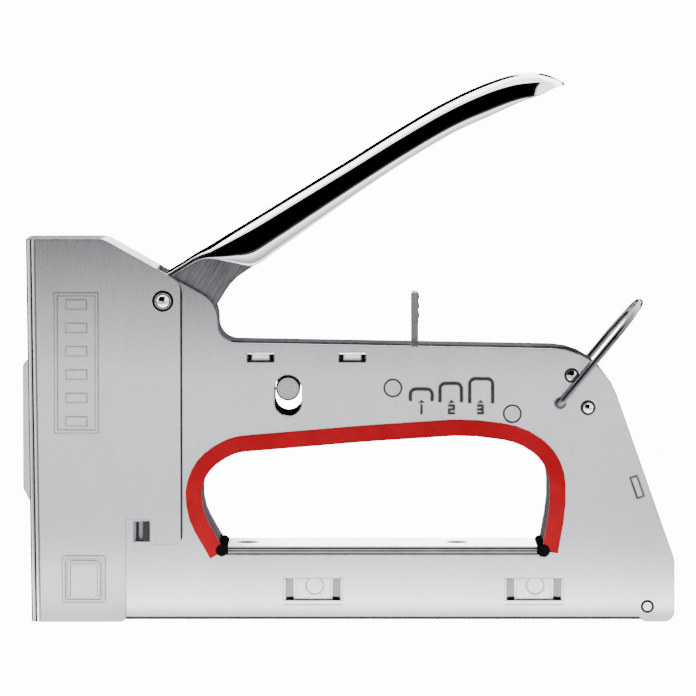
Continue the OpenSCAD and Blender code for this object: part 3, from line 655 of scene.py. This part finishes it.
def skin(bm, rings):
    """Walls between rings of the same count, and a cap on each end."""
    count = len(rings[0])
    for a, b in zip(rings, rings[1:]):
        for i in range(count):
            j = (i + 1) % count
            bm.faces.new((a[i], a[j], b[j], b[i]))
    bm.faces.new(rings[0][::-1])
    bm.faces.new(rings[-1])


def add_object(name, bm, material):
    mesh = bpy.data.meshes.new(name)
    bm.to_mesh(mesh)
    bm.free()
    mesh.materials.append(material)
    obj = bpy.data.objects.new(name, mesh)
    bpy.context.scene.collection.objects.link(obj)
    return obj


# ---------- lever shell, refined ----------

# Stations along the lever, from its pivot: the ridge, the side's lower edge, the share of the half
# width, the corner's radius, and the lean of the side at its lower edge, in degrees.
Station = namedtuple("Station", "ridge_x ridge_z edge_x edge_z share radius lean")
SHELL_STATIONS = [
    Station(0.6, 7.2, 1.0, 5.8, 1, 0.35, -2),
    Station(4.7, 9.7, 5.3, 8.3, 1, 0.35, -2),
    Station(8.1, 11.9, 8.8, 10.4, 1, 0.45, -2),
    Station(11.6, 13.9, 12.4, 11.1, 1, 1.2, -6),
    Station(16.6, 17.0, 18.4, 10.0, 1, 2.8, -12),
    Station(21.9, 20.2, 24.0, 9.2, 1, 3.8, -14),
    Station(27.3, 23.5, 30.2, 13.3, 1, 4, -14),
    Station(34.9, 28.2, 39.6, 20.0, 1, 4, -14),
    Station(48.6, 36.6, 53.1, 29.5, 1, 4, -14),
    Station(60.5, 44.05, 65.1, 37.4, 1, 4.2, -14),
    Station(72.6, 51.15, 76.4, 44.1, 1, 4.4, -14),
    Station(83.1, 56.2, 86.1, 48.5, 1, 4.6, -13),
    Station(92.1, 59.3, 93.9, 52.1, 0.98, 4.6, -10),
    Station(98.1, 59.8, 99.1, 53.9, 0.9, 4.4, -4),
    Station(101.9, 59.0, 102.2, 55.5, 0.74, 2.9, 8),
    Station(104.6, 57.7, 104.6, 56.3, 0.5, 1.1, 16),
    Station(105.7, 57.2, 105.7, 56.4, 0.26, 0.5, 20),
]
STEPS_ALONG = 8
STEPS_TOP = 8
STEPS_CORNER = 10
STEPS_SIDE = 8
SHELL_SHEET = 0.9
# The sheet is at most this share of the shell's depth.
SHEET_SHARE = 0.45
# The crown turns the top by this many degrees per millimetre of depth, up to the most.
CROWN_PER_DEEP = 3
CROWN_MOST = 10
# The corner ends at this angle, or this far short of the side's lean.
CORNER_END = 16
CORNER_MARGIN = 6
INNER_RADIUS_LEAST = 0.1
LIP = 0.02
SIDE_GAP = 0.01


def smooth_between(a, b, c, d, t):
    """Catmull-Rom curve from b to c, for each number of a station."""
    return Station(*(
        0.5 * (2 * q + (r - p) * t + (2 * p - 5 * q + 4 * r - s) * t * t + (3 * q - p - 3 * r + s) * t ** 3)
        for p, q, r, s in zip(a, b, c, d)
    ))


def shell_path():
    last = len(SHELL_STATIONS) - 1
    for k in range(last):
        around = [SHELL_STATIONS[min(last, max(0, k + i))] for i in (-1, 0, 1, 2)]
        for i in range(STEPS_ALONG):
            yield smooth_between(*around, i / STEPS_ALONG)
    yield SHELL_STATIONS[last]


def turn_run(a, b):
    """Run outwards and down, per length, of a curve whose normal turns evenly from a to b degrees."""
    a, b = math.radians(a), math.radians(b)
    return (math.cos(b) - math.cos(a)) / (a - b), (math.sin(a) - math.sin(b)) / (a - b)


def half_section(width, deep, radius, lean, crown):
    """Half a section, as out and down: a slightly crowned top, a round corner, a side that curves in."""
    start = max(CORNER_END, lean + CORNER_MARGIN)
    top = turn_run(90, crown)
    corner_len = radius * math.radians(crown - start)
    corner = [v * corner_len for v in turn_run(crown, start)]
    if lean < 0:
        reach = turn_run(start, 0)[0] * start / (start - lean)
    else:
        reach = turn_run(start, lean)[0]
    slope = top[1] / top[0]
    side_down = turn_run(start, lean)[1]
    side_len = (deep - corner[1] - slope * (width - corner[0])) / (side_down - slope * reach)
    top_len = (width - corner[0] - side_len * reach) / top[0]
    points = [(0.0, 0.0)]
    for a, b, length, steps in (
        (90, crown, top_len, STEPS_TOP), (crown, start, corner_len, STEPS_CORNER),
        (start, lean, side_len, STEPS_SIDE),
    ):
        y0, d0 = points[-1]
        for i in range(1, steps + 1):
            run = turn_run(a, a + (b - a) * i / steps)
            points.append((y0 + run[0] * length * i / steps, d0 + run[1] * length * i / steps))
    return points


def shell_ring(station, half):
    """A closed section: the outside over both halves, a lip on each lower edge, and the inside."""
    ridge = Vector((station.ridge_x, 0, station.ridge_z))
    down = Vector((station.edge_x, 0, station.edge_z)) - ridge
    deep = down.length
    down.normalize()
    width = station.share * half
    sheet = min(SHELL_SHEET, deep * SHEET_SHARE)
    crown = 90 - min(CROWN_MOST, CROWN_PER_DEEP * deep)
    outer = half_section(width, deep, station.radius, station.lean, crown)
    inner_radius = max(INNER_RADIUS_LEAST, station.radius - sheet)
    inner = [
        (y, d + sheet)
        for y, d in half_section(width - sheet, deep - sheet, inner_radius, station.lean, crown)
    ]
    lip = [((outer[-1][0] + inner[-1][0]) / 2, deep + LIP)]
    loop = outer[::-1] + [(-y, d) for y, d in outer[1:]] + [(-y, d) for y, d in lip]
    loop += [(-y, d) for y, d in inner[::-1]] + inner[1:] + lip
    return [ridge + down * d + Vector((0, y, 0)) for y, d in loop]


def make_lever_shell():
    """The lever's handle as one smooth bent sheet, in place of its plainer CAD node."""
    joints = frame["record"]["behaviour"]["joints"]
    pivot = Vector(next(j for j in joints if j["name"] == "lever_hinge")["pos_m"])
    half = half_width("lever_shell") - SIDE_GAP
    bm = bmesh.new()
    rings = [[bm.verts.new(pivot + p * MM) for p in shell_ring(station, half)] for station in shell_path()]
    skin(bm, rings)
    bmesh.ops.recalc_face_normals(bm, faces=bm.faces)
    for face in bm.faces:
        face.smooth = len(face.verts) == 4
    shell = add_object("lever_shell_refined", bm, MATERIALS["lever_chrome"])
    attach(shell, "lever")
    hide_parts("lever_shell")


make_lever_shell()

# ---------- bent flaps behind the nose's windows ----------

# The flap's path: x, and its depth behind the plate.
FLAP_PATH = ((-57.6, 0.25), (-56.2, 0.35), (-55.0, 1.3), (-53.2, 1.35))
FLAP_Z = (20.0, 28.0)
FLAP_SHEET = 0.4
FLAP_STEPS = 6
FLAP_ROUND = 0.1


def flap_points():
    for (x0, deep0), (x1, deep1) in zip(FLAP_PATH, FLAP_PATH[1:]):
        for i in range(FLAP_STEPS):
            t = i / FLAP_STEPS
            ease = t * t * (3 - 2 * t)
            yield x0 + (x1 - x0) * t, deep0 + (deep1 - deep0) * ease
    yield FLAP_PATH[-1]


def make_window_flaps():
    """A strip of inner sheet on each side, bent away from the plate, that closes off the window."""
    bm = bmesh.new()
    for side in (-1, 1):
        rings = []
        for x, deep in flap_points():
            outer, inner = side * (PLATE_INNER - deep), side * (PLATE_INNER - deep - FLAP_SHEET)
            corners = ((outer, FLAP_Z[0]), (inner, FLAP_Z[0]), (inner, FLAP_Z[1]), (outer, FLAP_Z[1]))
            rings.append([bm.verts.new(Vector((x, y, z)) * MM) for y, z in corners])
        skin(bm, rings)
    bmesh.ops.recalc_face_normals(bm, faces=bm.faces)
    flaps = add_object("window_flaps", bm, MATERIALS["inner_steel"])
    soften_edges(flaps, FLAP_ROUND)
    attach(flaps, "frame")


make_window_flaps()

# ---------- floor, in metres ----------

WHITE = 14.0
FLOOR_RADIUS = 6.0
FLOOR_SIDES = 96
FLOOR_GLOW = 4.0
# What metal mirrors of the floor: its brightness at each distance, which counts half along X.
FLOOR_STEPS = (
    (0.08, 1.0), (0.12, 0.35), (0.2, 0.14), (0.28, 0.2), (0.6, 0.65), (1.0, 0.75), (1.22, 0.02)
)
FLOOR_REACH = 2.0
FLOOR_SQUEEZE = 0.5


def glow(tree, strength):
    node = tree.nodes.new("ShaderNodeEmission")
    node.inputs["Color"].default_value = (1, 1, 1, 1)
    node.inputs["Strength"].default_value = strength
    return node


def floor_material():
    """Evenly white in the picture; in what mirrors it, rings that are brightest close to the tool."""
    material = bpy.data.materials.new("floor_white")
    material.use_nodes = True
    tree = material.node_tree
    tree.nodes.clear()
    out = tree.nodes.new("ShaderNodeOutputMaterial")
    mix = tree.nodes.new("ShaderNodeMixShader")
    path = tree.nodes.new("ShaderNodeLightPath")
    coords = tree.nodes.new("ShaderNodeTexCoord")
    squash = tree.nodes.new("ShaderNodeMapping")
    squash.inputs["Scale"].default_value = (FLOOR_SQUEEZE / FLOOR_REACH, 1 / FLOOR_REACH, 1)
    reach = tree.nodes.new("ShaderNodeVectorMath")
    reach.operation = "LENGTH"
    fade = tree.nodes.new("ShaderNodeValToRGB")
    stops = fade.color_ramp.elements
    for stop, level in zip(stops, (FLOOR_STEPS[0][1], FLOOR_STEPS[-1][1])):
        stop.color = (level, level, level, 1)
    for place, level in FLOOR_STEPS:
        stops.new(place / FLOOR_REACH).color = (level, level, level, 1)
    rings = glow(tree, FLOOR_GLOW)
    tree.links.new(coords.outputs["Object"], squash.inputs["Vector"])
    tree.links.new(squash.outputs["Vector"], reach.inputs[0])
    tree.links.new(reach.outputs["Value"], fade.inputs["Fac"])
    tree.links.new(fade.outputs["Color"], rings.inputs["Color"])
    tree.links.new(path.outputs["Is Camera Ray"], mix.inputs["Fac"])
    tree.links.new(rings.outputs["Emission"], mix.inputs[1])
    tree.links.new(glow(tree, WHITE).outputs["Emission"], mix.inputs[2])
    tree.links.new(mix.outputs["Shader"], out.inputs["Surface"])
    return material


def make_floor():
    bm = bmesh.new()
    bmesh.ops.create_circle(bm, cap_ends=True, segments=FLOOR_SIDES, radius=FLOOR_RADIUS)
    floor = add_object("floor", bm, floor_material())
    floor.location = (0, 0, CAD_BOX[0].z)


make_floor()

# ---------- tent and key light ----------

TENT_TOP = 7.0
TENT_HIGH = 4.0
TENT_SIDE = 3.0
# Parts of the tent, in a unit direction's components: side along X, front along Y and up along Z.
# Each pair is where a soft border starts and ends, and a range has one border at each end.
OVERHEAD = (0.88, 0.92)
ARCH_SIDE = ((-0.85, -0.7), (0.2, 0.35))
WINDOW_SIDE = ((-0.92, -0.84), (0.4, 0.5))
WINDOW_BACK = (-0.34, -0.26)
FAR_UP = (0.4, 0.45)
FAR_SIDE = (0.7, 0.76)
FAR_FRONT = (0.6, 0.66)
FAR_GAP = ((-0.03, -0.01), (0.05, 0.07))
BACK_FRONT = (-0.3, 0.25)
BACK_UP = (0.9, 0.95)


def make_world():
    """White in the picture; to what mirrors it, a bright tent with a dark window and a dark far side."""
    world = bpy.data.worlds.new("studio")
    bpy.context.scene.world = world
    world.use_nodes = True
    tree = world.node_tree
    tree.nodes.clear()

    def maths(operation, *values):
        node = tree.nodes.new("ShaderNodeMath")
        node.operation = operation
        for slot, value in zip(node.inputs, values):
            if isinstance(value, (int, float)):
                slot.default_value = value
            else:
                tree.links.new(value, slot)
        return node.outputs[0]

    def step(value, border, before, after):
        node = tree.nodes.new("ShaderNodeMapRange")
        node.interpolation_type = "SMOOTHSTEP"
        for name, number in zip(("From Min", "From Max", "To Min", "To Max"), (*border, before, after)):
            node.inputs[name].default_value = number
        tree.links.new(value, node.inputs["Value"])
        return node.outputs["Result"]

    def above(value, border):
        return step(value, border, 0, 1)

    def below(value, border):
        return step(value, border, 1, 0)

    def both(*masks):
        total = masks[0]
        for mask in masks[1:]:
            total = maths("MULTIPLY", total, mask)
        return total

    def inside(value, borders):
        return both(above(value, borders[0]), below(value, borders[1]))

    coords = tree.nodes.new("ShaderNodeTexCoord")
    split = tree.nodes.new("ShaderNodeSeparateXYZ")
    tree.links.new(coords.outputs["Generated"], split.inputs["Vector"])
    side, front, up = split.outputs
    high = both(above(up, OVERHEAD), inside(side, ARCH_SIDE))
    window = both(inside(side, WINDOW_SIDE), below(up, OVERHEAD), below(front, WINDOW_BACK))
    gap = inside(side, FAR_GAP)
    far = both(below(up, FAR_UP), below(maths("ABSOLUTE", side), FAR_SIDE), above(front, FAR_FRONT))
    far = both(far, maths("SUBTRACT", 1, gap))
    back = both(above(front, BACK_FRONT), below(up, BACK_UP))
    level = maths("MAXIMUM", maths("MULTIPLY", back, TENT_TOP), maths("MULTIPLY", high, TENT_HIGH))
    level = maths("MAXIMUM", level, TENT_SIDE)
    level = both(level, maths("SUBTRACT", 1, maths("MAXIMUM", window, far)))

    out = tree.nodes.new("ShaderNodeOutputWorld")
    mix = tree.nodes.new("ShaderNodeMixShader")
    path = tree.nodes.new("ShaderNodeLightPath")
    white = tree.nodes.new("ShaderNodeBackground")
    tent = tree.nodes.new("ShaderNodeBackground")
    for node in (white, tent):
        node.inputs["Color"].default_value = (1, 1, 1, 1)
    white.inputs["Strength"].default_value = WHITE
    tree.links.new(level, tent.inputs["Strength"])
    tree.links.new(path.outputs["Is Camera Ray"], mix.inputs["Fac"])
    tree.links.new(tent.outputs["Background"], mix.inputs[1])
    tree.links.new(white.outputs["Background"], mix.inputs[2])
    tree.links.new(mix.outputs["Shader"], out.inputs["Surface"])


KEY_AT = Vector((-0.5, -0.9, 1.1))
KEY_AIM = Vector((0, 0, 0.07))
KEY_SIZE = (0.9, 0.6)
KEY_WATTS = 2


def make_key_light():
    """A soft light from the upper left front, which metal doesn't mirror."""
    data = bpy.data.lights.new("key", "AREA")
    data.shape = "RECTANGLE"
    data.size, data.size_y = KEY_SIZE
    data.energy = KEY_WATTS
    light = bpy.data.objects.new("key", data)
    light.location = KEY_AT
    light.visible_glossy = False
    light.rotation_mode = "QUATERNION"
    light.rotation_quaternion = (KEY_AIM - KEY_AT).to_track_quat("-Z", "Y")
    bpy.context.scene.collection.objects.link(light)


make_world()
make_key_light()
